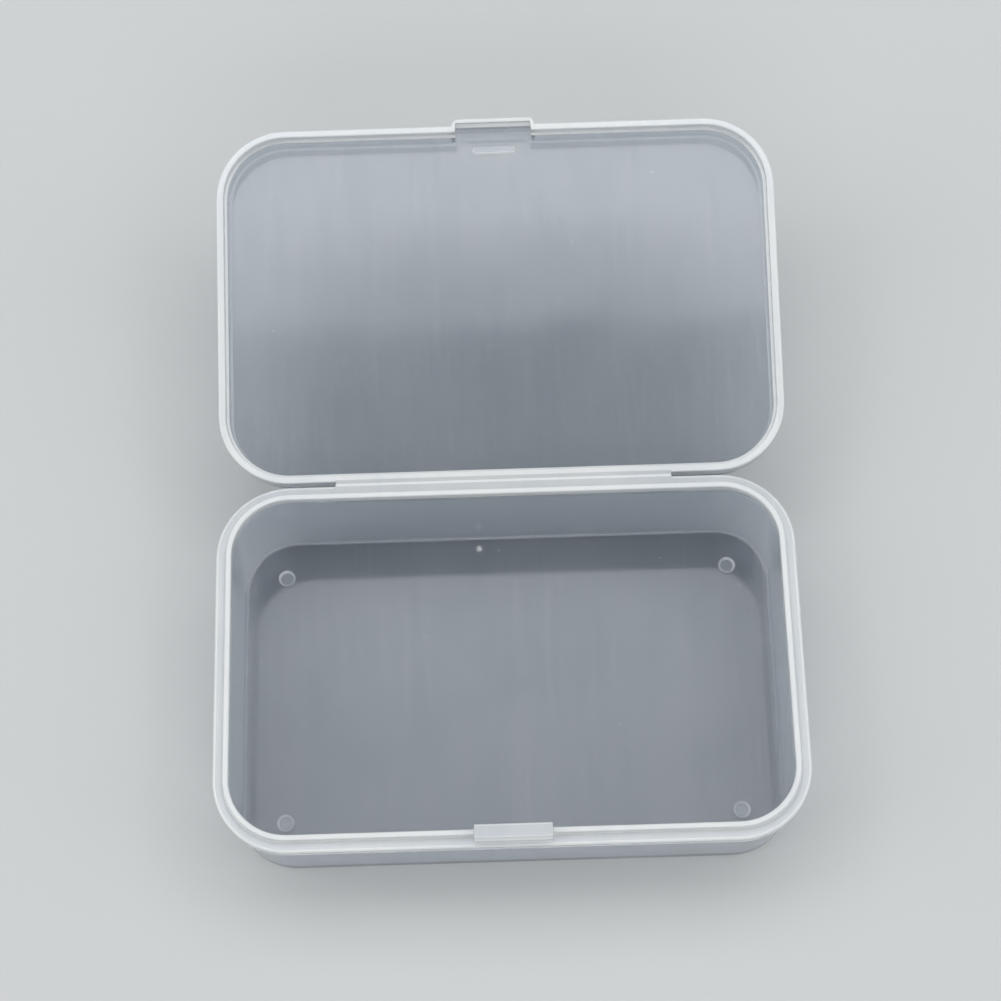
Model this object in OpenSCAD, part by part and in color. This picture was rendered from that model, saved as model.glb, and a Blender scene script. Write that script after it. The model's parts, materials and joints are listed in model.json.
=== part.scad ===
// Pocket snap box for guitar picks: a deep tray and a shallow lid joined by a living hinge,
// with a one-piece catch at the front. It lies open, with the lid turned back and a little above flat.
//
// Frame: millimetres, +Z up, origin at the centre of the tray's flat underside,
// +Y towards the hinge and the lid, +X along the hinge.

/* [Tray] */
// Width of the tray over its flange, along the hinge
box_w = 95; // [80:0.5:120]
// Depth of the tray over its flange, from front to hinge
box_d = 61.5; // [50:0.5:80]
// Height of the flange's top face, where the lid's rim rests
rim_h = 20; // [16:0.5:28]
// Outer corner radius, seen from above
corner_r = 12; // [8:0.5:16]
// Thickness of the tray's floor
floor_t = 1.2; // [1:0.1:2]
// Thickness of the tray's wall at the top
wall_t = 1.3; // [1:0.05:1.4]
// How far the flange stands out from the wall
flange_out = 1.35; // [1.2:0.05:1.6]
// Height of the flange
flange_t = 2; // [1.5:0.1:3]
// Height of the locating lip above the flange
lip_h = 1.2; // [0.8:0.1:1.3]

/* [Lid] */
// Height of the lid from rim to panel face
lid_h = 6.5; // [6:0.1:9]
// Thickness of the lid's panel
panel_t = 1; // [0.8:0.1:1.4]
// Width of the lid's rim face
lid_rim_t = 1.2; // [1:0.05:1.3]
// Depth of the rebate that takes the tray's lip
rebate_h = 1.6; // [1.5:0.1:2]
// How far the lid's outline stays inside the tray's, on each side
lid_play = 0.35; // [0.2:0.05:0.35]
// Angle of the lid above flat-open, at rest
lid_tilt = 12; // [5:1:20]

/* [Hinge] */
// Length of the living hinge
hinge_len = 55.6; // [40:0.2:60]
// Thickness of the living hinge
hinge_t = 0.4; // [0.3:0.05:0.5]
// Distance from the tray's flange to the line that the hinge folds on
hinge_gap = 0.15; // [0.15:0.05:0.3]

/* [Catch] */
// Width of the catch tab on the tray
tab_w = 12.6; // [10:0.1:12.6]
// Height of the tab above the flange
tab_h = 3.3; // [3:0.1:3.6]
// Outer width of the hood on the lid
hood_w = 14; // [13.8:0.1:16]
// How far the hood stands out from the lid's rim
hood_out = 1.2; // [1:0.1:1.5]

/* [Moulding marks] */
// Diameter of the four ejector recesses in the floor
pin_d = 2.9; // [2:0.1:4]
// Depth of the ejector recesses
pin_depth = 0.3; // [0.2:0.05:0.5]
// Spacing of the ejector recesses along the hinge
pin_span_x = 75.4; // [60:0.2:78]
// Spacing of the ejector recesses from front to back
pin_span_y = 42.8; // [36:0.2:46]
// Length of the raised bar on the lid's panel
bar_len = 7.4; // [5:0.2:10]
// Width of the raised bar
bar_w = 1.4; // [1:0.1:2]

/* [Hidden] */
$fn = 64;
over = 1;

clear_pp = [0.87, 0.89, 0.89, 0.55];
frosted_pp = [0.93, 0.94, 0.92, 0.75];

// Tray profile, as insets from the flange's outer edge
wall_out_top = flange_out;
wall_in_top = flange_out + wall_t;
wall_draft_out = 0.55;
wall_draft_in = 0.3;
wall_out_foot = wall_out_top + wall_draft_out;
wall_in_foot = wall_in_top + wall_draft_in;
foot_r = 1;
cove_r = 1.2;
lip_play = 0.2;
lip_out = lid_play + lid_rim_t + lip_play;
edge_r = 0.3;
fillet_steps = 4;

// Lid profile, as insets from the lid's own outer edge, depths from its rim face
lid_w = box_w - 2 * lid_play;
lid_d = box_d - 2 * lid_play;
lid_r = corner_r - lid_play;
lid_gap = hinge_gap + lid_play;
lid_in = lid_h - panel_t;
lid_draft = 0.22;
lid_round = 1.5;
rebate_step = 0.45;
lid_wall_in = lid_rim_t + rebate_step;
lid_cove_r = 0.8;
round_start = asin((lid_round - panel_t) / lid_round);
round_centre = [lid_draft + lid_round, lid_h - lid_round];

// Hinge line
hinge_y = box_d / 2 + hinge_gap;
leaf_relief = 0.08;

// Catch, as insets from the tray's or the lid's front edge
tab_out = 0.7;
tab_in = wall_in_top;
bead_out = 0.3;
bead_z = 2.35;
bead_half = 0.6;
bead_flat = 0.2;
ridge_z = 1.2;
hood_cheek = 0.55;
tab_lean = 0.3;
hood_in = -0.35;
hood_slope = 0.9;
notch_play = 0.05;
hood_foot = lid_wall_in + lid_cove_r + notch_play;
ridge_tip = 0.15;

// Gate mark on the floor, near the hinge side
gate_x = -4.6;
gate_inset = 5;
gate_d = 1.5;
gate_h = 0.35;
gate_taper = 0.6;

// Bar on the lid's panel
bar_inset = 2.8;
bar_h = 0.3;

// Points of a quarter round: centre, radius, first and last angle
function quarter(c, r, a0, a1) =
    [for (i = [0 : fillet_steps]) let (a = a0 + (a1 - a0) * i / fillet_steps)
        [c[0] + r * cos(a), c[1] + r * sin(a)]];

// Tray point from an inset and a height; lid point from an inset and a depth
function tray_points(list) = [for (p = list) [corner_r - p[0], p[1]]];
function lid_points(list) = [for (p = list) [lid_r - p[0], -p[1]]];

// Sweeps a profile round a rounded rectangle. The profile's x runs outwards from the
// corner centres and its y is height, so each wall is flat and each corner is a true turn.
module around(w, d, r) {
    half_w = w / 2 - r;
    half_d = d / 2 - r;
    for (turn = [0, 180]) rotate([0, 0, turn]) {
        translate([-half_w, half_d, 0]) rotate([90, 0, 90]) linear_extrude(2 * half_w) children();
        translate([half_w, half_d, 0]) rotate([90, 0, 0]) linear_extrude(2 * half_d) children();
        translate([half_w, half_d, 0]) rotate_extrude(angle = 90) children();
        translate([-half_w, half_d, 0]) rotate([0, 0, 90]) rotate_extrude(angle = 90) children();
    }
}

module around_tray() {
    around(box_w, box_d, corner_r) children();
}

// The lid's own frame has the hinge line as its origin, with the rim face up at z = 0
module around_lid() {
    translate([0, lid_gap + lid_d / 2, 0]) around(lid_w, lid_d, lid_r) children();
}

// Opens the lid to its place at rest
module opened() {
    translate([0, hinge_y, rim_h]) rotate([lid_tilt, 0, 0]) children();
}

// A bar along X from a profile whose x is the inset from the front edge and y is height
module front_bar(len) {
    translate([-len / 2, -box_d / 2, 0]) rotate([90, 0, 90]) linear_extrude(len) children();
}

// The same on the lid's far edge, with y as depth below the rim face
module far_bar(len) {
    translate([-len / 2, lid_gap + lid_d, 0]) rotate([180, 0, 0]) rotate([90, 0, 90])
        linear_extrude(len) children();
}

// Flat floor plate with a rounded foot and four shallow ejector recesses
module base_floor() {
    color(clear_pp) difference() {
        union() {
            around_tray() polygon(tray_points(concat(
                [[corner_r, 0]],
                quarter([wall_out_foot + foot_r, foot_r], foot_r, -90, -180),
                [[wall_out_foot, floor_t], [corner_r, floor_t]]
            )));
            translate([-box_w / 2 + corner_r, -box_d / 2 + corner_r, 0])
                cube([box_w - 2 * corner_r, box_d - 2 * corner_r, floor_t]);
        }
        for (x = [-1, 1], y = [-1, 1])
            translate([x * pin_span_x / 2, y * pin_span_y / 2, floor_t - pin_depth])
                cylinder(d = pin_d, h = pin_depth + over);
    }
}

// Drafted wall on the floor's edge, coved into the floor inside
module base_wall() {
    color(clear_pp) around_tray() polygon(tray_points(concat(
        [[wall_out_foot, floor_t], [wall_out_top, rim_h - flange_t], [wall_out_top, rim_h],
            [wall_in_top, rim_h]],
        quarter([wall_in_foot + cove_r, floor_t + cove_r], cove_r, 180, 270)
    )));
}

// Flange round the top of the wall, which the lid's rim rests on
module base_flange() {
    color(frosted_pp) around_tray() polygon(tray_points([
        [wall_out_top, rim_h - flange_t], [edge_r, rim_h - flange_t],
        [0, rim_h - flange_t + edge_r], [0, rim_h], [wall_out_top, rim_h]
    ]));
}

// Locating lip on the wall's top, broken at the front by the catch tab
module base_lip() {
    color(frosted_pp) difference() {
        around_tray() polygon(tray_points([
            [lip_out, rim_h], [lip_out, rim_h + lip_h - edge_r],
            [lip_out + edge_r, rim_h + lip_h], [wall_in_top - edge_r, rim_h + lip_h],
            [wall_in_top, rim_h + lip_h - edge_r], [wall_in_top, rim_h]
        ]));
        translate([-tab_w / 2, -box_d / 2 - over, rim_h - over])
            cube([tab_w, wall_in_top + 2 * over, lip_h + 2 * over]);
    }
}

// Springy tab that stands up from the rim at the front and leans in slightly
module catch_tab() {
    top = rim_h + tab_h;
    color(frosted_pp) front_bar(tab_w) polygon([
        [tab_out, rim_h], [tab_out, top - edge_r], [tab_out + edge_r, top],
        [tab_in + tab_lean - edge_r, top], [tab_in + tab_lean, top - edge_r], [tab_in, rim_h]
    ]);
}

// Snap bead along the tab's outer face, under its top edge
module catch_bead() {
    color(frosted_pp) front_bar(tab_w) polygon([
        [tab_out, rim_h + bead_z - bead_half], [bead_out, rim_h + bead_z - bead_flat],
        [bead_out, rim_h + bead_z + bead_flat], [tab_out, rim_h + bead_z + bead_half]
    ]);
}

// Round stub left by the moulding gate
module gate_vestige() {
    color(frosted_pp) translate([gate_x, box_d / 2 - gate_inset, floor_t])
        cylinder(d1 = gate_d, d2 = gate_d * gate_taper, h = gate_h);
}

// A half of the living hinge, in the lid's frame, before it is turned
module leaf(width) {
    translate([-hinge_len / 2, 0, 0]) rotate([90, 0, 90]) linear_extrude(hinge_len)
        polygon([[0, 0], [width, 0], [width, -hinge_t], [leaf_relief, -hinge_t]]);
}

// Half of the living hinge on the tray's flange
module base_hinge_leaf() {
    color(clear_pp) translate([0, hinge_y, rim_h]) mirror([0, 1, 0]) leaf(hinge_gap);
}

// Lid's flat panel, with its rounded outer edge
module lid_panel() {
    color(clear_pp) opened() {
        around_lid() polygon(lid_points(concat(
            [[lid_r, lid_in]],
            quarter(round_centre, lid_round, 180 - round_start, 90),
            [[lid_r, lid_h]]
        )));
        translate([-lid_w / 2 + lid_r, lid_gap + lid_r, -lid_h])
            cube([lid_w - 2 * lid_r, lid_d - 2 * lid_r, panel_t]);
    }
}

// Clears the stretch of the lid's far wall that the hood takes the place of
module hood_notch() {
    translate([-hood_w / 2, lid_gap + lid_d - hood_foot, -lid_in])
        cube([hood_w, hood_foot + over, lid_in + over]);
}

// Lid's wall below the rebate, coved into the panel
module lid_wall() {
    color(clear_pp) opened() difference() {
        around_lid() polygon(lid_points(concat(
            [[lid_draft * rebate_h / lid_h, rebate_h]],
            quarter(round_centre, lid_round, 180, 180 - round_start),
            quarter([lid_wall_in + lid_cove_r, lid_in - lid_cove_r], lid_cove_r, 90, 180),
            [[lid_wall_in, rebate_h]]
        )));
        hood_notch();
    }
}

// Thin rim round the lid's mouth: the rebate inside it takes the tray's lip
module lid_rim() {
    color(frosted_pp) opened() difference() {
        around_lid() polygon(lid_points([
            [lid_draft * rebate_h / lid_h, rebate_h], [0, hinge_t], [0, 0],
            [lid_rim_t - edge_r, 0], [lid_rim_t, edge_r], [lid_rim_t, rebate_h]
        ]));
        hood_notch();
    }
}

// Hood that bulges from the lid's far edge and closes over the tray's tab
module clasp_hood() {
    color(frosted_pp) opened() difference() {
        far_bar(hood_w) polygon([
            [-hood_out + edge_r, 0], [-hood_out, edge_r], [-hood_out, lid_in - hood_slope],
            [-hood_out + hood_slope, lid_in], [lid_wall_in + lid_cove_r, lid_in],
            [lid_wall_in, lid_in - lid_cove_r], [lid_wall_in, rebate_h],
            [lid_rim_t, rebate_h], [lid_rim_t, 0]
        ]);
        far_bar(hood_w - 2 * hood_cheek) polygon([
            [hood_in, -over], [hood_in, lid_in - hood_slope], [hood_in + hood_slope, lid_in],
            [hood_in + hood_slope, lid_h], [hood_foot + over, lid_h], [hood_foot + over, -over]
        ]);
    }
}

// Snap ridge across the inside of the hood, which passes under the bead
module clasp_ridge() {
    color(frosted_pp) opened() far_bar(hood_w - 2 * hood_cheek) polygon([
        [hood_in, ridge_z - bead_half], [ridge_tip, ridge_z - bead_flat],
        [ridge_tip, ridge_z + bead_flat], [hood_in, ridge_z + bead_half]
    ]);
}

// Raised bar on the inside of the panel, by the clasp
module panel_bar() {
    straight = bar_len - bar_w;
    color(frosted_pp) opened() translate([0, lid_gap + lid_d - bar_inset, -lid_in]) {
        translate([-straight / 2, -bar_w / 2, 0]) cube([straight, bar_w, bar_h]);
        for (side = [-1, 1]) translate([side * straight / 2, 0, 0]) cylinder(d = bar_w, h = bar_h);
    }
}

// Half of the living hinge on the lid's rim
module lid_hinge_leaf() {
    color(clear_pp) opened() leaf(lid_gap);
}

base_floor();
base_wall();
base_flange();
base_lip();
catch_tab();
catch_bead();
gate_vestige();
base_hinge_leaf();
lid_panel();
lid_wall();
lid_rim();
clasp_hood();
clasp_ridge();
panel_bar();
lid_hinge_leaf();
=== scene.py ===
# %% [markdown]
# # A snap box for guitar picks
# The object is a pocket box moulded in one shot of natural polypropylene: a tray, a lid and, between
# them, a strip of the same plastic so thin that it folds. A CAD assembly already fixes every size,
# the line the lid turns on and how far it turns. This lesson gives it its looks. The first step loads
# the CAD assembly as a frame that stays still, so that each mesh can be placed by asking the frame.

# %% Load the fixed frame
import json
import math

import bmesh
import bpy
import numpy as np
from mathutils import Matrix, Vector


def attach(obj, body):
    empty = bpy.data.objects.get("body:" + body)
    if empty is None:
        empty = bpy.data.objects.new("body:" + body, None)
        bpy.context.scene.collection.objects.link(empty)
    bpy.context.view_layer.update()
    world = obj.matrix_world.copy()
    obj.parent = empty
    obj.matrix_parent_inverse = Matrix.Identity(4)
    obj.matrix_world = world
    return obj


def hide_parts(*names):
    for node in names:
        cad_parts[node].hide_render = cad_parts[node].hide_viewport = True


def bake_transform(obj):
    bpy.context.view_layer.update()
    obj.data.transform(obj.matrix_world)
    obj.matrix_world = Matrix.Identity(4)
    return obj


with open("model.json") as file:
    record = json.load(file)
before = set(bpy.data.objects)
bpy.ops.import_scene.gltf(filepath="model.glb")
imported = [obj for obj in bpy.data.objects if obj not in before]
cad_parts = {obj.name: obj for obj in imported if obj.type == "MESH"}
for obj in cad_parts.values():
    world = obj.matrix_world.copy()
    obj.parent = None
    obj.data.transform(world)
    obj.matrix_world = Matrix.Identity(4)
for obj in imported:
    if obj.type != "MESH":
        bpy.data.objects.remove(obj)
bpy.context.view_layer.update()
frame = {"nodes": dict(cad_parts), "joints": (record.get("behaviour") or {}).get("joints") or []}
MM = 0.001

# %% [markdown]
# ## Reading sizes off the frame
# The lid stands open at rest, so its nodes are tilted in the frame. It is far easier to shape a lid that
# lies flat. Turning its points back about the hinge line gives the lid's own frame: the hinge line is
# the X axis, the lid reaches out along Y, and its rim faces up at height zero. The tilt is whatever is
# left between the open lid and the half turn that shuts it.

# %% The hinge and the lid's own frame
hinge = frame["joints"][0]
hinge_line = Vector(hinge["pos_m"]) / MM
lid_tilt = math.pi - math.radians(hinge["range_deg"][1])
lid_to_row = Matrix.Translation(hinge_line) @ Matrix.Rotation(lid_tilt, 4, "X")
row_to_lid = lid_to_row.inverted()


def points_of(node, placed=None):
    """A CAD node's points in millimetres, turned back by a matrix if one is given."""
    turn = placed or Matrix.Identity(4)
    return np.array([turn @ (v.co / MM) for v in frame["nodes"][node].data.vertices])


def box_of(node, placed=None):
    points = points_of(node, placed)
    return points.min(0), points.max(0)


def corner_radius(node, placed=None):
    """The radius of a rounded rectangle's corners: its long edge is flat only as far as they start."""
    points = points_of(node, placed)
    edge = points[points[:, 1] > points[:, 1].max() - 0.01]
    return points[:, 0].max() - edge[:, 0].max()


print("lid tilt in degrees:", round(math.degrees(lid_tilt), 2))

# %% Tray sizes, in millimetres
flange_low, flange_high = box_of("base_flange")
tray_w, tray_d = (flange_high - flange_low)[:2]
tray_r = corner_radius("base_flange")
rim_z, flange_under = flange_high[2], flange_low[2]
floor_high = box_of("base_floor")[1]
floor_z, foot_inset = floor_high[2], flange_high[0] - floor_high[0]
wall_inset = flange_high[0] - box_of("base_wall")[1][0]
lip_high = box_of("base_lip")[1]
lip_inset, lip_z = flange_high[0] - lip_high[0], lip_high[2]
tab_low, tab_high = box_of("catch_tab")
bead_low, bead_high = box_of("catch_bead")
print("tray", round(tray_w, 2), "x", round(tray_d, 2), "corner", round(tray_r, 2), "rim at", round(rim_z, 2))

# %% Lid sizes, in millimetres and in the lid's own frame
rim_low, rim_high = box_of("lid_rim", row_to_lid)
lid_w, lid_d = (rim_high - rim_low)[:2]
lid_r = corner_radius("lid_rim", row_to_lid)
lid_mid_y = (rim_high[1] + rim_low[1]) / 2
rebate_depth = -rim_low[2]
panel_low, panel_high = box_of("lid_panel", row_to_lid)
panel_face, panel_back = -panel_high[2], -panel_low[2]
hood_high = box_of("clasp_hood", row_to_lid)[1]
ridge_low, ridge_high = box_of("clasp_ridge", row_to_lid)
bar_low, bar_high = box_of("panel_bar", row_to_lid)
leaf_high = box_of("lid_hinge_leaf", row_to_lid)[1]
print("lid", round(lid_w, 2), "x", round(lid_d, 2), "corner", round(lid_r, 2), "height", round(panel_back, 2))

# %% [markdown]
# ## Drawing a section with true rounds
# A moulding has no sharp edges: the steel that shaped it was cut with round tools, and each small round
# catches a thin line of light. So a wall is drawn as a few corners, each with its own radius, and the
# corners are then turned into arcs. A bevel modifier could do it too, but it guesses which edges to
# round. Here a rational curve gives an exact arc for any angle, and it keeps the number of points the
# same when a section changes shape, which lets the lip swell into the catch further on.

# %% Section tools
ARC_STEPS = 4
LEAST_REACH = 0.03
MOST_REACH = 0.47


def rounded(corners):
    """The section through corners given as (inset, height, radius), as points with arcs for corners."""
    points = [np.array(corners[0][:2], float)]
    for before, here, after in zip(corners, corners[1:], corners[2:]):
        corner = np.array(here[:2], float)
        back, ahead = np.array(before[:2]) - corner, np.array(after[:2]) - corner
        back_length, ahead_length = np.linalg.norm(back), np.linalg.norm(ahead)
        back, ahead = back / back_length, ahead / ahead_length
        turn = math.pi - math.acos(np.clip(back @ ahead, -1, 1))
        reach = max(here[2] * math.tan(turn / 2), LEAST_REACH)
        reach = min(reach, MOST_REACH * back_length, MOST_REACH * ahead_length)
        pull = math.cos(turn / 2)
        for t in np.linspace(0, 1, ARC_STEPS + 1):
            shares = np.array([(1 - t) ** 2, 2 * pull * t * (1 - t), t * t])
            place = shares @ [corner + back * reach, corner, corner + ahead * reach]
            points.append(place / shares.sum())
    points.append(np.array(corners[-1][:2], float))
    return points


def mix(a, b, share):
    return a + (b - a) * share


def ease(value, start, end):
    """0 before start, 1 after end, and an S curve between them. start may be the larger one."""
    t = min(max((value - start) / (end - start), 0), 1)
    return t * t * (3 - 2 * t)


# %% [markdown]
# ## Sweeping a section round a rounded rectangle
# Everything on this box is a section taken round an outline: the tray and the lid round their rim, a
# round ejector mark round a circle, the bar on the lid round a slot. All of these outlines are rounded
# rectangles, so one sweep makes them all. A station on the outline is an anchor with a direction
# outwards, and a section point with an inset lands that much inside the outline.

# %% Sweep tools
CORNER_STEPS = 16
MARK_CORNER_STEPS = 6
MARK_STEP = 2
SAME_PLACE = 1e-6
WELD = 0.002


def even(half, step):
    """Places spread evenly over a straight run, without its two ends."""
    count = max(int(round(2 * half / step)), 1)
    return list(np.linspace(-half, half, count + 1)[1:-1])


def stations(width, depth, radius, stops, steps=CORNER_STEPS):
    """(anchor, outward) pairs, counter-clockwise. stops has the places along the front, right, back, left."""
    half = [width / 2 - radius, depth / 2 - radius]
    found = []
    for side in range(4):
        angle = math.radians(90 * side - 90)
        out = np.array([round(math.cos(angle)), round(math.sin(angle))])
        along = np.array([-out[1], out[0]])
        reach, run = half[1 - side % 2], half[side % 2]
        found += [(out * reach + along * s, out) for s in sorted(stops[side])]
        for a in np.linspace(angle, angle + math.pi / 2, steps + 1):
            found.append((out * reach + along * run, np.array([math.cos(a), math.sin(a)])))
    edge = [anchor + out * radius for anchor, out in found]
    return [found[i] for i in range(len(found)) if np.linalg.norm(edge[i] - edge[i - 1]) > SAME_PLACE]


def sweep(mesh, outline, radius, centre, section):
    """Adds a band of quads. Gives back the edges of its first and last rings."""
    columns = []
    for anchor, out in outline:
        column = []
        for inset, height in section(anchor + out * radius, out):
            x, y = np.array(centre) + anchor + out * (radius - inset)
            column.append(mesh.verts.new((x, y, height)))
        columns.append(column)
    pairs = list(zip(columns, columns[1:] + columns[:1]))
    for here, ahead in pairs:
        for i in range(len(here) - 1):
            mesh.faces.new((here[i], ahead[i], ahead[i + 1], here[i + 1]))
    return [[mesh.edges.get((a[i], b[i])) for a, b in pairs] for i in (0, -1)]


def stamp(mesh, size, centre, corners):
    """A mark on a flat face, swept from its outer edge inwards and closed in its middle. Gives its edge."""
    radius = min(size) / 2
    stops = [even(side / 2 - radius, MARK_STEP) for side in size * 2]
    outline = stations(*size, radius, stops, MARK_CORNER_STEPS)
    points = rounded(corners)
    outer, inner = sweep(mesh, outline, radius, centre, lambda place, out: points)
    bmesh.ops.triangle_fill(mesh, use_beauty=True, edges=[e for e in inner if e])
    return [e for e in outer if e]


def finished(mesh, name, placed, finish_of):
    """The swept mesh as a smooth object in metres. finish_of picks each face's finish."""
    bmesh.ops.remove_doubles(mesh, verts=mesh.verts, dist=WELD)
    bmesh.ops.dissolve_degenerate(mesh, dist=WELD, edges=mesh.edges)
    bmesh.ops.recalc_face_normals(mesh, faces=mesh.faces)
    for face in mesh.faces:
        face.smooth = True
        face.material_index = finish_of(face.calc_center_median(), face.normal)
    mesh.transform(Matrix.Scale(MM, 4) @ placed)
    open_edges = sum(len(e.link_faces) != 2 for e in mesh.edges)
    data = bpy.data.meshes.new(name)
    mesh.to_mesh(data)
    mesh.free()
    for material in FINISHES:
        data.materials.append(material)
    made = bpy.data.objects.new(name, data)
    bpy.context.scene.collection.objects.link(made)
    flat = made.modifiers.new("flat faces stay flat", "WEIGHTED_NORMAL")
    flat.weight = 100
    flat.keep_sharp = True
    print(name, "faces:", len(data.polygons), "open edges:", open_edges)
    return made


# %% [markdown]
# ## Talking to the shader in Python
# A node tree for moulded plastic is mostly arithmetic: noise times a mask, plus a base, and so on. One
# small class wraps a socket and gives it the arithmetic operators, so the sums below read like sums
# and the nodes are made behind them. Anything that isn't a sum comes from one method, `node`.

# %% Shader tools
class Value:
    """A number that varies over a surface, kept as the socket that carries it."""

    def __init__(self, tree, socket):
        self.tree, self.socket = tree, socket

    def _sum(self, operation, a, b):
        return self.tree.node("ShaderNodeMath", {"operation": operation}, {0: a, 1: b})

    def __add__(self, other):
        return self._sum("ADD", self, other)

    def __radd__(self, other):
        return self._sum("ADD", other, self)

    def __sub__(self, other):
        return self._sum("SUBTRACT", self, other)

    def __rsub__(self, other):
        return self._sum("SUBTRACT", other, self)

    def __mul__(self, other):
        return self._sum("MULTIPLY", self, other)

    def __rmul__(self, other):
        return self._sum("MULTIPLY", other, self)

    def ramp(self, low, high):
        """Eases from 0 at low to 1 at high."""
        return self.tree.node(
            "ShaderNodeMapRange",
            {"interpolation_type": "SMOOTHSTEP", "clamp": True},
            {"Value": self, "From Min": low, "From Max": high},
        )


class Plastic:
    """A material's node tree, with its Principled shader."""

    def __init__(self, name):
        self.material = bpy.data.materials.new(name)
        self.material.use_nodes = True
        self.nodes = self.material.node_tree.nodes
        self.links = self.material.node_tree.links
        self.shader = self.nodes["Principled BSDF"]

    def feed(self, socket, value):
        if isinstance(value, Value):
            self.links.new(value.socket, socket)
        else:
            socket.default_value = value

    def node(self, kind, settings=None, inputs=None, output=0):
        made = self.nodes.new(kind)
        for name, value in (settings or {}).items():
            setattr(made, name, value)
        for name, value in (inputs or {}).items():
            self.feed(made.inputs[name], value)
        return Value(self, made.outputs[output])

    def surface(self, **values):
        """Sets the shader's own sockets, named with _ for a space."""
        for name, value in values.items():
            self.feed(self.shader.inputs[name.replace("_", " ")], value)

    def place(self):
        return self.node("ShaderNodeTexCoord", output="Object")

    def stretched(self, place, scale, turn=0.0):
        """A pattern's place, in millimetres times scale, turned about Z by that many degrees."""
        settings = {"Scale": tuple(s / MM for s in scale), "Rotation": (0, 0, math.radians(turn))}
        return self.node("ShaderNodeMapping", inputs={"Vector": place, **settings})

    def noise(self, place, detail, rough=0.55):
        inputs = {"Vector": place, "Scale": 1.0, "Detail": detail, "Roughness": rough}
        return self.node("ShaderNodeTexNoise", inputs=inputs)

    def tinted(self, share, base, colour):
        """base, a plain or a varying colour, mixed towards one plain colour."""
        start = base if isinstance(base, Value) else (*base, 1)
        inputs = {0: share, 6: start, 7: (*colour, 1)}
        return self.node("ShaderNodeMix", {"data_type": "RGBA"}, inputs, output=2)

    def bump(self, height, distance, strength, normal=None):
        inputs = {"Height": height, "Distance": distance, "Strength": strength}
        if normal:
            inputs["Normal"] = normal
        return self.node("ShaderNodeBump", inputs=inputs)


# %% [markdown]
# ## Natural polypropylene
# Uncoloured polypropylene is neither glass nor milk. Its crystals scatter a little of the light, so a
# thin panel shows what is behind it through a bluish haze, a wall seen along its length is hazier, and
# a rounded edge, which gathers light from the whole part, turns milky white. Scattering inside the
# plastic could be rendered as a volume, but that is slow and is lost on export. A Principled shader
# with part of its weight on transmission does it at the surface: what isn't transmitted is the milky
# share. So one recipe makes four finishes, and each face of the moulding gets the one it shows.

# %% The plastic's own settings
PP_IOR = 1.49
SCUFF_WHITE = (0.97, 0.97, 0.97)
CLOUD_SHARE = 0.7
SCRATCH_TINT, SPECK_TINT, STREAK_TINT = 0.1, 0.6, 0.12
SCRATCH_DULL, SPECK_DULL, STREAK_DULL = 0.12, 0.3, 0.03
WAVE_DEPTH, WAVE_STRENGTH = 0.2 * MM, 0.3
MARK_DEPTH, MARK_STRENGTH = 0.004 * MM, 0.5
SCRATCH_DEPTH = 0.3


def moulded(name, pale, deep, passes, gloss, gloss_step, wear):
    """One finish of the plastic. passes is the transmitted share, gloss its roughness and wear its marks."""
    pp = Plastic(name)
    place = pp.place()

    # cloudiness and the streaks that the melt left as it flowed
    clouds = pp.noise(pp.stretched(place, (0.05, 0.05, 0.05)), detail=4)
    flow = pp.noise(pp.stretched(place, (0.5, 0.05, 0.2), 8), detail=2)
    colour = pp.tinted((clouds * CLOUD_SHARE + flow * (1 - CLOUD_SHARE)).ramp(0.35, 0.65), deep, pale)

    # polishing lines of the mould, hairline scratches from use, and specks
    polish = pp.noise(pp.stretched(place, (1.3, 0.018, 0.4)), detail=3, rough=0.7)
    streaks = polish.ramp(0.5, 0.72) * wear
    scratch_a = pp.noise(pp.stretched(place, (9, 0.16, 1), 24), detail=1).ramp(0.69, 0.74)
    scratch_b = pp.noise(pp.stretched(place, (0.2, 8, 1), 17), detail=1).ramp(0.7, 0.75)
    scratches = (scratch_a + scratch_b) * wear
    cells = {"Vector": pp.stretched(place, (0.22, 0.22, 0.22)), "Scale": 1.0, "Randomness": 1.0}
    specks = (1 - pp.node("ShaderNodeTexVoronoi", inputs=cells).ramp(0.015, 0.035)) * wear * wear
    whitened = scratches * SCRATCH_TINT + specks * SPECK_TINT + streaks * STREAK_TINT
    colour = pp.tinted(whitened, colour, SCUFF_WHITE)
    dulled = scratches * SCRATCH_DULL + specks * SPECK_DULL + streaks * STREAK_DULL
    gloss_here = gloss + (clouds - 0.5) * gloss_step + dulled

    # panels are never quite flat, and a scratch has a depth
    waves = pp.noise(pp.stretched(place, (0.035, 0.05, 0.05)), detail=1)
    wavy = pp.bump(waves, WAVE_DEPTH, WAVE_STRENGTH)
    marked = pp.bump(specks - scratches * SCRATCH_DEPTH, MARK_DEPTH, MARK_STRENGTH, wavy)
    pp.surface(Base_Color=colour, Roughness=gloss_here, Normal=marked)
    pp.surface(Transmission_Weight=passes, IOR=PP_IOR)
    print(name, "passes", passes, "nodes:", len(pp.nodes))
    return pp.material


# %% The four finishes
FINISHES = [
    moulded("clear_panel", (0.67, 0.705, 0.75), (0.625, 0.665, 0.715), 0.92, 0.06, 0.04, 1.0),
    moulded("hazy_wall", (0.82, 0.865, 0.92), (0.77, 0.82, 0.88), 0.8, 0.1, 0.05, 0.6),
    moulded("cloudy_face", (0.87, 0.885, 0.89), (0.80, 0.825, 0.85), 0.5, 0.18, 0.06, 0.5),
    moulded("bright_edge", (0.93, 0.93, 0.905), (0.86, 0.875, 0.885), 0.3, 0.2, 0.06, 0.3),
]
PANEL, WALL, FACE, EDGE = range(len(FINISHES))
FLAT = 0.985
LEVEL = 0.95


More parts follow.
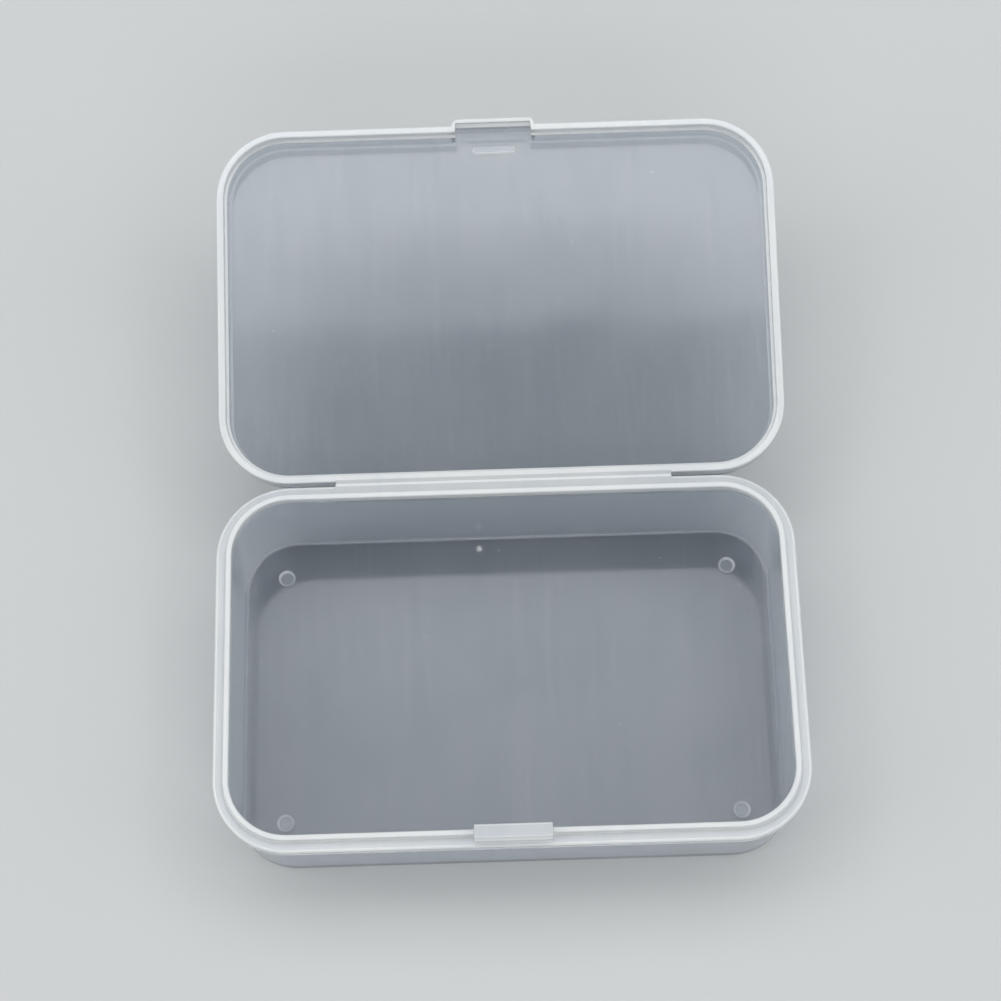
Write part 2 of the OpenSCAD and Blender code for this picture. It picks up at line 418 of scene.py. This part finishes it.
def is_flat(normal):
    """Faces that lie level or stand upright, as against the rounds between them."""
    return max(abs(normal.z), math.hypot(normal.x, normal.y)) > FLAT


def sheet_finish(normal):
    """Panels lie level and walls stand."""
    return PANEL if abs(normal.z) > LEVEL else WALL


# %% [markdown]
# ## The tray
# The tray's section starts on the floor inside, climbs the wall, goes over the locating lip, steps
# down onto the flange that the lid rests on, turns under it and runs down the outside to the rounded
# foot. At the front the lip swells into the catch: a tall tab that leans in a little, with a bead under
# its top edge. Modelling the tab apart and pushing it in would leave a seam inside see-through
# plastic, so the section itself changes as it passes the front.

# %% The tray's section
WALL_T = 1.3
FOOT_WALL_T = 1.05
COVE = 1.2
FOOT_ROUND = 1.0
RIM_ROUND = 0.45
FOLD_ROUND = 0.08
LIP_ROUND = 0.28
LIP_SIDE = 0.34
LIP_STEP = 0.1
ROOT_ROUNDS = 0.16, 0.26
KNEE_DROP, KNEE_ROUND = 0.2, 1.0
UNDER_ROUND, NECK_ROUND = 0.4, 0.35
SNAP_HALF = 0.6
SNAP_FLAT = 0.2
SNAP_ROUNDS = 0.1, 0.12
SNAP_HEIGHTS = SNAP_HALF, SNAP_FLAT, -SNAP_FLAT, -SNAP_HALF
TAB_SIDE = 0.22
FOLD_ENDS = 0.1, 0.3
FILL_MARGIN = 0.06
wall_foot_in = foot_inset + FOOT_WALL_T
wall_top_in = wall_inset + WALL_T
tab_half = (tab_high[0] - tab_low[0]) / 2
tray_front = -tray_d / 2
tab_out, tab_in = tab_low[1] - tray_front, tab_high[1] - tray_front
bead_out = bead_low[1] - tray_front
bead_z = (bead_low[2] + bead_high[2]) / 2
leaf_half = leaf_high[0]


def tray_section(place, out):
    tab = ease(abs(place[0]), tab_half, tab_half - TAB_SIDE) if out[1] < -0.99 else 0.0
    fold = ease(abs(place[0]), leaf_half + FOLD_ENDS[1], leaf_half - FOLD_ENDS[0]) if out[1] > 0.99 else 0.0
    top = mix(lip_z, tab_high[2], tab)
    face = mix(lip_inset, tab_out, tab)
    bead = mix(face, bead_out, tab)
    snap = [mix(lip_z - LIP_SIDE - LIP_STEP * i, bead_z + up, tab) for i, up in enumerate(SNAP_HEIGHTS)]
    return rounded([
        (wall_foot_in + COVE + FILL_MARGIN, floor_z, 0),
        (wall_foot_in, floor_z, COVE),
        (wall_top_in, rim_z - KNEE_DROP, KNEE_ROUND),
        (mix(wall_top_in, tab_in, tab), top, LIP_ROUND),
        (face, top, LIP_ROUND),
        (face, snap[0], SNAP_ROUNDS[0]),
        (bead, snap[1], SNAP_ROUNDS[1]),
        (bead, snap[2], SNAP_ROUNDS[1]),
        (face, snap[3], SNAP_ROUNDS[0]),
        (face, rim_z, mix(*ROOT_ROUNDS, tab)),
        (0, rim_z, mix(RIM_ROUND, FOLD_ROUND, fold)),
        (0, flange_under, UNDER_ROUND),
        (wall_inset, flange_under, NECK_ROUND),
        (foot_inset, 0, FOOT_ROUND),
        (foot_inset + FOOT_ROUND + FILL_MARGIN, 0, 0),
    ])


# %% Where the tray's section changes
STEP = 4
TAB_ENDS = 0.24, 0.04


def either_side(edge, ends, count):
    """Places from a little inside an edge to a little outside it, on the right and on the left."""
    places = np.linspace(edge - ends[0], edge + ends[1], count)
    return [*places, *-places]


front_stops = even(tray_w / 2 - tray_r, STEP) + either_side(tab_half, TAB_ENDS, 8)
back_stops = even(tray_w / 2 - tray_r, STEP) + either_side(leaf_half, FOLD_ENDS, 5)
side_stops = even(tray_d / 2 - tray_r, STEP)
print("stations along the front:", len(front_stops), "back:", len(back_stops))

# %% [markdown]
# The floor has five small marks: four dents where ejector pins pushed the part off the mould, and a
# stub where the melt came in. Their places and sizes are read off the CAD floor and the CAD stub. A
# dent's side slopes a little, so that it catches light as a ring.

# %% The marks on the floor
MARK_ZONE = 6
SUNK = 0.1
DENT_LIP = 0.15
GATE_SINK = 0.1
floor_points = points_of("base_floor")
inner = (abs(floor_points[:, :2]) < np.array([tray_w, tray_d]) / 2 - MARK_ZONE).all(axis=1)
sunk = (floor_points[:, 2] > SUNK) & (floor_points[:, 2] < floor_z - SUNK)
dent = abs(floor_points[inner & sunk])
dent_z = dent[:, 2].max()
dent_x, dent_y = (dent[:, :2].min(0) + dent[:, :2].max(0)) / 2
dent_d = np.ptp(dent[:, 0]) + 2 * DENT_LIP
gate_low, gate_high = box_of("gate_vestige")
gate_x, gate_y = (gate_low[:2] + gate_high[:2]) / 2
gate_d, gate_z = gate_high[0] - gate_low[0], gate_high[2]
dent_side = [(0, floor_z, 0), (DENT_LIP, floor_z, 0.12), (0.55, dent_z, 0.3), (1.1, dent_z, 0)]
gate_side = [
    (0, floor_z, 0),
    (0.06, floor_z, 0.05),
    (0.14, floor_z - GATE_SINK, 0.06),
    (0.32, floor_z - GATE_SINK, 0.06),
    (0.4, gate_z, 0.1),
    (0.6, gate_z - 0.06, 0),
]
print("dents", round(dent_d, 3), "wide at", round(dent_x, 3), round(dent_y, 3), "bottom at", round(dent_z, 3))

# %% The tray's mesh
tray_mesh = bmesh.new()
tray_outline = stations(tray_w, tray_d, tray_r, [front_stops, side_stops, back_stops, side_stops])
floor_edges, under_edges = sweep(tray_mesh, tray_outline, tray_r, (0, 0), tray_section)
for side_x in (-1, 1):
    for side_y in (-1, 1):
        floor_edges += stamp(tray_mesh, (dent_d, dent_d), (side_x * dent_x, side_y * dent_y), dent_side)
floor_edges += stamp(tray_mesh, (gate_d, gate_d), (gate_x, gate_y), gate_side)
bmesh.ops.triangle_fill(tray_mesh, use_beauty=True, edges=floor_edges)
bmesh.ops.triangle_fill(tray_mesh, use_beauty=True, edges=under_edges)


# %% The tray's finishes
def inset_of(place, width, depth, radius):
    """How far a point is inside a rounded rectangle's edge."""
    over_x = abs(place[0]) - (width / 2 - radius)
    over_y = abs(place[1]) - (depth / 2 - radius)
    if over_x > 0 and over_y > 0:
        return radius - math.hypot(over_x, over_y)
    return radius - max(over_x, over_y)


def mark_finish(place, normal):
    """The stub is bright, a dent's side is cloudy and its bottom hazy, and the rest is clear."""
    if place.z > floor_z + 0.02:
        return EDGE
    if abs(normal.z) < LEVEL:
        return FACE
    return WALL if 0.3 * floor_z < place.z < floor_z - 0.05 else PANEL


def tray_finish(place, normal):
    """Bright rounds on the rim and the catch, cloudy flats between them, hazy walls, and a cloudy foot whose
    paler colour is partly painted light over its contact shade.
    """
    inset = inset_of(place, tray_w, tray_d, tray_r)
    if inset > wall_foot_in + COVE:
        return mark_finish(place, normal)
    if place.z > rim_z + 0.03:
        return FACE if is_flat(normal) and place.z > lip_z + 0.1 else EDGE
    if place.z > flange_under - 0.02 and inset < (wall_inset + wall_top_in) / 2:
        return FACE if is_flat(normal) else EDGE
    # Partly painted light: the foot and the underside's outer ring take the cloudy, paler finish, which lifts
    # the dark contact shade where the tray sits on the table; a moulded foot is also a little hazier in
    # itself.
    if place.z < FOOT_ROUND and inset < foot_inset + FOOT_ROUND:
        return FACE
    return sheet_finish(normal)


tray = finished(tray_mesh, "tray_moulding", Matrix.Identity(4), tray_finish)
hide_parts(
    "base_floor", "base_wall", "base_flange", "base_lip", "catch_tab", "catch_bead", "gate_vestige"
)
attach(tray, "tray")

# %% [markdown]
# ## The lid
# The lid is the same idea upside down: a rim, a rebate that drops over the tray's lip, a low wall and a
# flat panel. At its far edge the outside bulges into a hood and the inside opens into a pocket with a
# ridge across it, which snaps under the tray's bead. The hood's corners are round, while the pocket's
# ends are steep, because they guide the tab between them. The rim stops a hundredth of a millimetre
# short of the flange, so that the shut box has no faces lying in each other.

# %% The lid's section
WALL_IN = 1.65
RIM_IN = 1.2
DRAFT = 0.22
COVE_LID = 0.5
PANEL_ROUND = 1.5
HOOD_BACK_ROUND = 0.95
POCKET_SLOPE = 1.4
HOOD_SLOPE = 0.9
HOOD_CORNER = 1.1
HOOD_FLARE = 0.25
HOOD_ENDS = HOOD_CORNER, HOOD_FLARE + 0.03
POCKET_ENDS = 0.12, 0.02
POCKET_FOOT_IN, POCKET_FOOT_ROUND = 1.6, 0.3
LEDGE_ROUND = 0.12
RIM_ROUND_IN, RIM_ROUND_OUT = 0.25, 0.35
SNAP_START, SNAP_STEP = 1.3, 0.15
REST_GAP = 0.01
lid_far = lid_mid_y + lid_d / 2
hood_out = hood_high[1] - lid_far
hood_half = hood_high[0]
pocket_half = ridge_high[0]
pocket_in = lid_far - ridge_high[1]
ridge_in = lid_far - ridge_low[1]
ridge_z = -(ridge_low[2] + ridge_high[2]) / 2


def hood_share(along):
    """How far the hood stands out at a place along the far edge: flat, a round corner, a short flare."""
    over = min(max(along - (hood_half - HOOD_CORNER), 0), HOOD_CORNER)
    corner = HOOD_CORNER - math.sqrt(HOOD_CORNER ** 2 - over ** 2)
    flare = ease(along, hood_half - 0.02, hood_half + HOOD_FLARE)
    return mix(1 - corner / hood_out, 0, flare)


def lid_section(place, out):
    along = abs(place[0])
    far = out[1] > 0.99
    hood = hood_share(along) if far else 0.0
    pocket = ease(along, pocket_half + POCKET_ENDS[1], pocket_half - POCKET_ENDS[0]) if far else 0.0
    wall = mix(WALL_IN, pocket_in, pocket)
    inner = mix(RIM_IN, pocket_in, pocket)
    ridge = mix(RIM_IN, ridge_in, pocket)
    foot_round = mix(COVE_LID, POCKET_FOOT_ROUND, pocket)
    snap = [-mix(SNAP_START - SNAP_STEP * i, ridge_z + down, pocket) for i, down in enumerate(SNAP_HEIGHTS)]
    return rounded([
        (mix(WALL_IN + COVE_LID + FILL_MARGIN, POCKET_FOOT_IN, pocket), -panel_face, 0),
        (mix(WALL_IN, pocket_in + POCKET_SLOPE, pocket), -panel_face, foot_round),
        (wall, -mix(3.4, panel_face - POCKET_SLOPE, pocket), 0.4),
        (wall, -mix(rebate_depth, 2.4, pocket), LEDGE_ROUND),
        (inner, -mix(rebate_depth, 2.2, pocket), LEDGE_ROUND),
        (inner, snap[0], SNAP_ROUNDS[0]),
        (ridge, snap[1], SNAP_ROUNDS[1]),
        (ridge, snap[2], SNAP_ROUNDS[1]),
        (inner, snap[3], SNAP_ROUNDS[0]),
        (inner, -REST_GAP, RIM_ROUND_IN),
        (mix(0, -hood_out, hood), -REST_GAP, RIM_ROUND_OUT),
        (mix(0.15, -hood_out, hood), -mix(4.0, panel_face - HOOD_SLOPE, hood), mix(0.4, 0.7, hood)),
        (mix(0.18, -hood_out + HOOD_SLOPE, hood), -mix(4.6, panel_face, hood), 0.35),
        (DRAFT, -panel_back, mix(PANEL_ROUND, HOOD_BACK_ROUND, hood)),
        (PANEL_ROUND + FILL_MARGIN, -panel_back, 0),
    ])


# %% The lid's mesh
near_stops = even(lid_w / 2 - lid_r, STEP)
lid_side_stops = even(lid_d / 2 - lid_r, STEP)
far_stops = near_stops + either_side(hood_half, HOOD_ENDS, 16) + either_side(pocket_half, POCKET_ENDS, 7)

lid_mesh = bmesh.new()
lid_outline = stations(lid_w, lid_d, lid_r, [near_stops, lid_side_stops, far_stops, lid_side_stops])
face_edges, back_edges = sweep(lid_mesh, lid_outline, lid_r, (0, lid_mid_y), lid_section)
bar_size = (bar_high[0] - bar_low[0], bar_high[1] - bar_low[1])
bar_place = (0, (bar_low[1] + bar_high[1]) / 2)
face_edges += stamp(lid_mesh, bar_size, bar_place, [
    (0, -panel_face, 0),
    (0.03, -panel_face, 0.02),
    (0.2, bar_high[2], 0.12),
    (0.5, bar_high[2], 0),
])
bmesh.ops.triangle_fill(lid_mesh, use_beauty=True, edges=face_edges)
bmesh.ops.triangle_fill(lid_mesh, use_beauty=True, edges=back_edges)


# %% The lid's finishes
def pocket_finish(place, normal, inset):
    """Bright cheeks, a bright ridge that is partly a painted highlight, and a hazy wall between them."""
    # The ridge's whole band, its flat face too, takes the brightest finish: partly the milky rounds of the
    # bead, partly a painted highlight standing in for the light on its top.
    ridge_painted_highlight = inset < pocket_in + 0.5 and -ridge_z - SNAP_HALF - 0.05 < place.z < -0.4
    return EDGE if abs(normal.x) > 0.3 or ridge_painted_highlight else WALL


def lid_finish(place, normal):
    """The rim down to the rebate's ledge is bright, and so are the hood's edges, the ridge and the bar."""
    inset = inset_of(place - Vector((0, lid_mid_y, 0)), lid_w, lid_d, lid_r)
    across = abs(place.x)
    cheek_foot = lid_far - WALL_IN - COVE_LID - FILL_MARGIN
    if across < pocket_half + 0.1 and place.y > cheek_foot and inset > pocket_in - 0.02 and normal.z < 0.9:
        return pocket_finish(place, normal, inset)
    if inset > WALL_IN + COVE_LID and place.z > -panel_face and across < bar_size[0] / 2:
        return WALL if normal.z > 0.97 else EDGE
    if inset < -0.05:
        return FACE if is_flat(normal) and place.z < -0.3 else EDGE
    if place.z > -rebate_depth - 0.3:
        return EDGE if place.z > -0.4 or inset > RIM_IN + 0.05 else FACE
    return sheet_finish(normal)


lid = finished(lid_mesh, "lid_moulding", lid_to_row, lid_finish)
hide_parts("lid_panel", "lid_wall", "lid_rim", "clasp_hood", "clasp_ridge", "panel_bar")
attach(lid, "lid")

# %% [markdown]
# ## The living hinge
# The hinge is a web of the same plastic, about as thick as a business card and thinner still along the
# fold, where the first bend stretched its molecules into a tough skin and whitened it. It could ride
# on one body with a gap at the fold, but a real strip has none. So it is one mesh, laid out in the
# tray's frame on one side of the hinge line and in the open lid's frame on the other, bent at the fold.

# %% The hinge web
WEB_LAP = 0.5
WEB_T = 0.4
WEB_THIN = 0.26
WEB_NECK = 0.35
WEB_SUNK = 0.02
WEB_STEPS = 14
FOLD_WHITE = 0.14
web_start = tray_d / 2
web_lid = lid_to_row @ Vector((0, lid_mid_y - lid_d / 2, 0))
web_near = web_start - WEB_LAP - hinge_line.y
web_far = lid_mid_y - lid_d / 2 + WEB_LAP
tray_to_row = Matrix.Translation(hinge_line)

web_mesh = bmesh.new()
rows = []
for along in np.linspace(web_near, web_far, WEB_STEPS + 1):
    thin = mix(WEB_THIN, WEB_T, ease(abs(along), 0.0, WEB_NECK))
    placed = lid_to_row if along > 0 else tray_to_row
    base = placed @ Vector((0, along, -WEB_SUNK))
    up = placed.to_3x3() @ Vector((0, 0, 1))
    ring = []
    for x, depth in ((-1, 0), (1, 0), (1, 1), (-1, 1)):
        ring.append(web_mesh.verts.new(base - up * thin * depth + Vector((x * leaf_half, 0, 0))))
    rows.append(ring)
for here, ahead in zip(rows, rows[1:]):
    for i in range(4):
        web_mesh.faces.new((here[i], here[(i + 1) % 4], ahead[(i + 1) % 4], ahead[i]))
web_mesh.faces.new(rows[0])
web_mesh.faces.new(rows[-1])


def web_finish(place, normal):
    """Cloudy, with a line along the fold that bending has whitened."""
    return EDGE if abs(place.y - hinge_line.y) < FOLD_WHITE else FACE


web = finished(web_mesh, "hinge_web", Matrix.Identity(4), web_finish)
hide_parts("base_hinge_leaf", "lid_hinge_leaf")
web_start * MM
rim_z * MM
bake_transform(web)

# %% [markdown]
# ## A pale table, soft light and the camera
# Clear plastic shows mostly what is round it, so the set matters as much as the shader. One wide soft
# light hangs behind the part like a window. Its near edge is mirrored across the middle of the lid, and
# it lights the tray's floor. Two weaker lights at the sides and one in front draw the bright lines on
# the rounded rims. A brighter world could do without them, but it would wash those lines out.

# %% Floor and world
TABLE_HALF = 4
TABLE_COLOUR = (0.58, 0.58, 0.57, 1)
TABLE_DROP = 0.02 * MM
WORLD_COLOUR = (0.86, 0.93, 1.0, 1)
WORLD_STRENGTH = 0.38
corners = [(x * TABLE_HALF, y * TABLE_HALF, 0) for x, y in ((-1, -1), (1, -1), (1, 1), (-1, 1))]
table_data = bpy.data.meshes.new("pale_table")
table_data.from_pydata(corners, [], [(0, 1, 2, 3)])
table = bpy.data.objects.new("pale_table", table_data)
bpy.context.scene.collection.objects.link(table)
table.location.z = -TABLE_DROP
pale = Plastic("pale_table")
pale.surface(Base_Color=TABLE_COLOUR, Roughness=0.7)
table_data.materials.append(pale.material)

world = bpy.data.worlds.new("studio")
bpy.context.scene.world = world
world.use_nodes = True
sky = world.node_tree.nodes["Background"].inputs
sky["Color"].default_value = WORLD_COLOUR
sky["Strength"].default_value = WORLD_STRENGTH
print("table", 2 * TABLE_HALF, "m wide, world strength", WORLD_STRENGTH)

# %% Soft lights
PART_MIDDLE = (0, 0.03, 0)


def soft_light(name, place, aim, size, power, colour=(1, 1, 1)):
    """A rectangular light. Places and sizes are in metres, power in watts."""
    data = bpy.data.lights.new(name, "AREA")
    data.shape = "RECTANGLE"
    data.size, data.size_y = size
    data.energy = power
    data.color = colour
    light = bpy.data.objects.new(name, data)
    bpy.context.scene.collection.objects.link(light)
    light.location = place
    light.rotation_euler = (Vector(aim) - Vector(place)).to_track_quat("-Z", "Y").to_euler()
    print(name, "power", power)


soft_light("window", (0, 0.508, 1.2), (0, 0.508, 0), (1.8, 0.84), 8.5, (0.97, 0.985, 1.0))
soft_light("left_wall", (-1.1, -0.1, 0.75), PART_MIDDLE, (0.9, 1.4), 6)
soft_light("right_wall", (1.1, -0.1, 0.75), PART_MIDDLE, (0.9, 1.4), 5)
soft_light("front_fill", (0.1, -1.0, 0.8), PART_MIDDLE, (1.2, 0.5), 4)

# %% Camera
CAMERA_AIM = Vector((-0.65, 31.14, 10.0)) * MM
CAMERA_DISTANCE = 406.55 * MM
CAMERA_HEIGHT_DEG = 68.82
CAMERA_SIDE_DEG = 1.11
CAMERA_ROLL_DEG = -2.82
CAMERA_LENS = 86.2
CAMERA_NEAR = 0.01
camera_data = bpy.data.cameras.new("camera")
camera = bpy.data.objects.new("camera", camera_data)
bpy.context.scene.collection.objects.link(camera)
side, height = math.radians(CAMERA_SIDE_DEG), math.radians(CAMERA_HEIGHT_DEG)
back = Vector((math.sin(side) * math.cos(height), -math.cos(side) * math.cos(height), math.sin(height)))
camera.location = CAMERA_AIM + back * CAMERA_DISTANCE
roll = Matrix.Rotation(math.radians(CAMERA_ROLL_DEG), 3, "Z")
camera.rotation_euler = ((-back).to_track_quat("-Z", "Y").to_matrix() @ roll).to_euler()
camera_data.lens = CAMERA_LENS
camera_data.clip_start = CAMERA_NEAR
bpy.context.scene.camera = camera
bpy.context.scene.view_settings.view_transform = "Standard"
